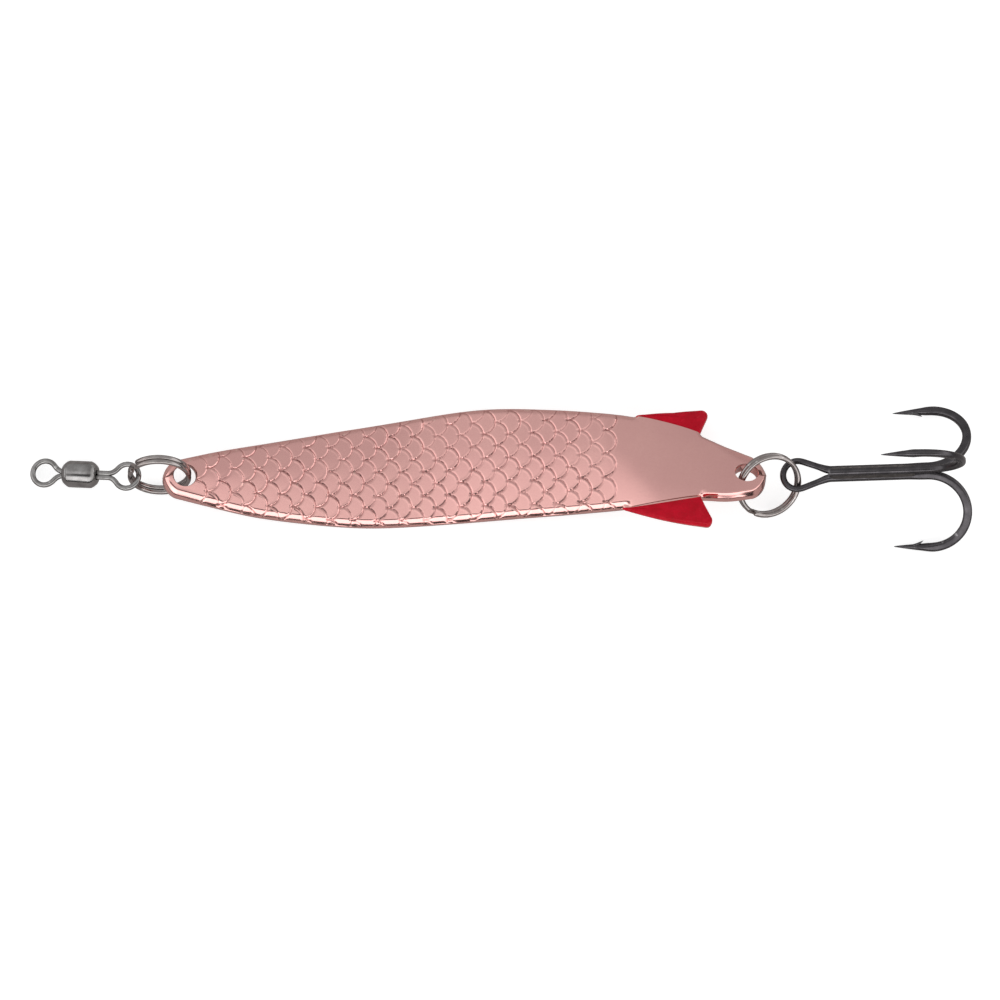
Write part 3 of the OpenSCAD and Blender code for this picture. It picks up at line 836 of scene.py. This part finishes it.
def wire_metal(name, base, dark, edge, rough, draw=0.0012, pit=0.0, patch=2.0):
    """Plated or blackened steel: lengthwise draw lines, patches, pits, painted shade in hollows and creases,
    and worn edges.
    """
    m = Nodes(name)
    at = m.coordinates()
    patches = m.noise(at, patch, 4)
    fine = m.noise(at, 0.14, 5, 0.6)
    uv = m.add("ShaderNodeUVMap", set_uv_map="Wire").outputs[0]
    lines = m.noise(m.add("ShaderNodeMapping", Vector=uv, Scale=(0.35, 9, 1)).outputs[0], 1.0, 3)
    point = m.add("ShaderNodeNewGeometry").outputs["Pointiness"]
    tone = m.mix(m.remap(patches, 0.32, 0.68, 0, 1), base, dark)
    tone = m.mix(m.remap(fine, 0.55, 0.75, 0, 0.35), tone, dark)
    # painted shade: hollows and the creases between touching wires darkened in the base colour
    tone = m.mix(m.remap(point, 0.36, 0.47, 0.75, 0), tone, tuple(0.35 * c for c in dark))
    rubbed = m.remap(point, WIRE_WEAR, WIRE_WEAR + 0.07, 0, 1)
    worn = m.math("MULTIPLY", rubbed, m.remap(fine, 0.4, 0.6, 0.3, 1))
    tone = m.mix(worn, tone, edge)
    m.link(tone, "Base Color")
    m.shader.inputs["Metallic"].default_value = 1.0
    low, high = rough
    grain = m.remap(fine, 0.4, 0.7, 0, 0.06)
    m.link(m.math("ADD", m.remap(patches, 0.3, 0.7, low, high), grain), "Roughness")
    height = m.math("ADD", m.remap(lines, 0, 1, 0, draw), m.remap(fine, 0, 1, 0, 0.0012 + pit))
    m.link(m.bump(height), "Normal")
    return m.material


def dress(obj, material):
    obj.data.materials.clear()
    obj.data.materials.append(material)


# ---- Stage
def pale_floor():
    """A floor that glows a little, and looks dimmer in reflections."""
    floor = make("floor", [[-3000, -3000, 0], [3000, -3000, 0], [3000, 3000, 0], [-3000, 3000, 0]],
                 [[0, 1, 2, 3]])
    m = Nodes("pale_floor")
    cloud = m.remap(m.noise(m.coordinates(), 14, 3), 0.3, 0.7, 0, 1)
    tone = m.mix(cloud, (0.52, 0.52, 0.52), (0.56, 0.56, 0.56))
    m.link(tone, "Base Color")
    m.shader.inputs["Roughness"].default_value = 0.9
    m.shader.inputs["Specular IOR Level"].default_value = 0.0
    m.shader.inputs["Emission Color"].default_value = (1, 1, 1, 1)
    m.shader.inputs["Emission Strength"].default_value = 0.70
    dim = m.add("ShaderNodeBsdfDiffuse", Color=(0.5, 0.47, 0.46, 1))
    swap = m.add("ShaderNodeMixShader", i0=m.add("ShaderNodeLightPath").outputs["Is Glossy Ray"])
    m.tree.links.new(m.shader.outputs[0], swap.inputs[1])
    m.tree.links.new(dim.outputs[0], swap.inputs[2])
    m.tree.links.new(swap.outputs[0], m.tree.nodes["Material Output"].inputs["Surface"])
    dress(floor, m.material)
    floor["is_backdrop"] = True


# Degrees from overhead towards the front, and how bright the tent is there
TENT = [(-180, .30), (-95, .30), (-84, .50), (-20, .56), (-12, .745), (0, .86), (6, .95), (9, .50),
        (13, .13), (30, .13), (35, 1.0), (43, 1.8), (72, 1.8), (77, .20), (81, .02), (97, .02),
        (120, .3), (180, .3)]
TENT_TOP = 1.8


def light_tent():
    """Soft light all round: a dark opening by the camera, a bright panel in front, a dark horizon."""
    world = bpy.data.worlds.new("tent")
    bpy.context.scene.world = world
    world.use_nodes = True
    tree = world.node_tree
    tree.nodes.clear()

    def node(kind, **settings):
        n = tree.nodes.new(kind)
        for key, value in settings.items():
            setattr(n, key, value)
        return n

    def calc(operation, a, b=0.0, c=None):
        n = node("ShaderNodeMath", operation=operation)
        for i, value in enumerate((a, b) if c is None else (a, b, c)):
            if isinstance(value, bpy.types.NodeSocket):
                tree.links.new(value, n.inputs[i])
            else:
                n.inputs[i].default_value = value
        return n.outputs[0]

    def step(value, low, high):
        n = node("ShaderNodeMapRange", interpolation_type="SMOOTHSTEP")
        tree.links.new(value, n.inputs["Value"])
        n.inputs["From Min"].default_value, n.inputs["From Max"].default_value = low, high
        return n.outputs[0]

    split = node("ShaderNodeSeparateXYZ")
    tree.links.new(node("ShaderNodeTexCoord").outputs["Generated"], split.inputs[0])
    x, y, z = split.outputs
    front = calc("ARCTAN2", calc("MULTIPLY", y, -1.0), z)
    ramp = node("ShaderNodeValToRGB")
    elements = ramp.color_ramp.elements
    elements.remove(elements[1])
    elements[0].position = 0.0
    elements[0].color = (TENT[0][1] / TENT_TOP,) * 3 + (1,)
    for degrees, level in TENT[1:]:
        elements.new(degrees / 360 + 0.5).color = (level / TENT_TOP,) * 3 + (1,)
    place = calc("MULTIPLY_ADD", front, 1 / (2 * math.pi), 0.5)
    tree.links.new(place, ramp.inputs["Fac"])
    lift = calc("MULTIPLY_ADD", step(calc("MULTIPLY", x, -1.0), 0.1, 0.4), 0.2, 1.0)
    band = calc("MULTIPLY", ramp.outputs["Color"], calc("MULTIPLY", lift, TENT_TOP))
    # lighter on the -X side, which the rising half of the blade reflects; even away from the middle,
    # with a brighter panel low on each side
    ends = step(calc("ABSOLUTE", x), 0.55, 0.8)
    panel = calc("MULTIPLY", step(z, 0.12, 0.3), 1.25)
    sides = calc("ADD", panel, 0.12)
    middle = calc("MULTIPLY", band, calc("SUBTRACT", 1.0, ends))
    blend = calc("ADD", middle, calc("MULTIPLY", sides, ends))
    background = node("ShaderNodeBackground")
    tree.links.new(blend, background.inputs["Color"])
    out = node("ShaderNodeOutputWorld")
    tree.links.new(background.outputs[0], out.inputs["Surface"])


# Camera, in metres
ELEVATION, DISTANCE, FRAME_WIDTH, AIM_Y, AIM_Z = math.radians(76), 0.8, 0.141, -0.00386, 0.004


def camera():
    """Looks down from the front at the photograph's angle."""
    low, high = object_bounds()
    aim = np.array([(low[0] + high[0]) / 2, AIM_Y, AIM_Z])
    back = np.array([0, -math.cos(ELEVATION), math.sin(ELEVATION)])
    data = bpy.data.cameras.new("camera")
    data.lens, data.sensor_width = 36 * DISTANCE / FRAME_WIDTH, 36
    data.clip_start, data.clip_end = 0.01, 20
    obj = bpy.data.objects.new("camera", data)
    bpy.context.scene.collection.objects.link(obj)
    obj.location = aim + back * DISTANCE
    obj.rotation_euler = (math.pi / 2 - ELEVATION, 0, 0)
    bpy.context.scene.camera = obj


# ---- Build
copper, enamel = copper_plate(), red_enamel()
nickel = wire_metal("ring_nickel", (0.44, 0.405, 0.395), (0.31, 0.27, 0.26), (0.7, 0.66, 0.64), (0.1, 0.17))
gunmetal = wire_metal("swivel_gunmetal", (0.38, 0.37, 0.365), (0.24, 0.23, 0.225), (0.6, 0.59, 0.58),
                      (0.11, 0.17), draw=0.002, pit=0.001, patch=1.2)
black_nickel = wire_metal("hook_black_nickel", (0.105, 0.098, 0.104), (0.062, 0.058, 0.062),
                          (0.3, 0.29, 0.3), (0.2, 0.32), draw=0.0025, pit=0.0015, patch=1.5)
solder = wire_metal("braze", (0.15, 0.14, 0.135), (0.085, 0.078, 0.075), (0.3, 0.28, 0.26),
                    (0.26, 0.4), draw=0.001, pit=0.004, patch=0.8)


def finish_piece(obj, body, slot, material, *nodes):
    dress(obj, material)
    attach(obj, body)
    if nodes:
        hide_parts(*nodes)


blade = blade_mesh()
for s0, y0, d0 in HOLES.values():
    cut(blade, hole_cutter(s0, y0, d0))
blade.data.shade_smooth()
sharpen(blade, 38)
finish_piece(blade, "blade", "copper_plate", copper, "spoon_blade")
for side, shape, root, spine in (("upper", UPPER_FIN, UPPER_ROOT, UPPER_SPINE),
                                 ("lower", LOWER_FIN, LOWER_ROOT, LOWER_SPINE)):
    finish_piece(fin(side + "_fin", shape, spine), "blade", "copper_plate", copper)
    coat = fin_enamel(side + "_fin_enamel_coat", shape, root, spine)
    finish_piece(coat, "blade", "red_enamel", enamel, side + "_fin_enamel")

rear_along = np.array([math.cos(REAR_TURN), math.sin(REAR_LEAN) * math.sin(REAR_TURN),
                       -math.cos(REAR_LEAN) * math.sin(REAR_TURN)])
rear_up = np.array([0, math.cos(REAR_LEAN), math.sin(REAR_LEAN)])
finish_piece(split_ring("front_ring", FRONT_MID, (1, 0, 0), FRONT_UP, FRONT_R, FRONT_STEP_AT, RING_WIRE),
             "front_ring", "ring_nickel", nickel, "front_split_ring")
finish_piece(split_ring("rear_ring", REAR_MID, rear_along, rear_up, REAR_R, REAR_STEP_AT, RING_WIRE),
             "rear_ring", "ring_nickel", nickel, "rear_split_ring")

swivel_dir = unit(SWIVEL_DIR)
swivel_side = unit(np.cross([0, 0, 1], swivel_dir))
swivel = (SWIVEL_LINK + EYE_SEAT * swivel_dir, swivel_dir, swivel_side)
reach_in = BARREL_LEN / 2 - WALL
finish_piece(wire_eye("ring_side_wire_eye", swivel, 1, 0, BARREL_AT - reach_in + 0.25),
             "ring_eye", "swivel_gunmetal", gunmetal, "ring_side_eye")
finish_piece(wire_eye("line_wire_eye", swivel, -1, LINE_EYE_AT, LINE_EYE_AT - BARREL_AT - reach_in + 0.25),
             "line_eye", "swivel_gunmetal", gunmetal, "line_eye")
finish_piece(barrel("barrel_shell", swivel), "barrel", "swivel_gunmetal", gunmetal, "swivel_barrel")
for node_name in ("ring_side_eye_head", "line_eye_head"):
    dress(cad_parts[node_name], gunmetal)

treble_from = REAR_MID + REAR_R * (math.cos(TREBLE_AT) * rear_along + math.sin(TREBLE_AT) * rear_up)
double, single, put = treble(treble_from)
finish_piece(double, "treble", "hook_black_nickel", black_nickel, "treble_double_hook")
finish_piece(single, "treble", "hook_black_nickel", black_nickel, "treble_single_hook")
finish_piece(braze(put), "treble", "braze", solder, "treble_braze")

pale_floor()
light_tent()
camera()
bpy.context.scene.view_settings.view_transform = "Standard"
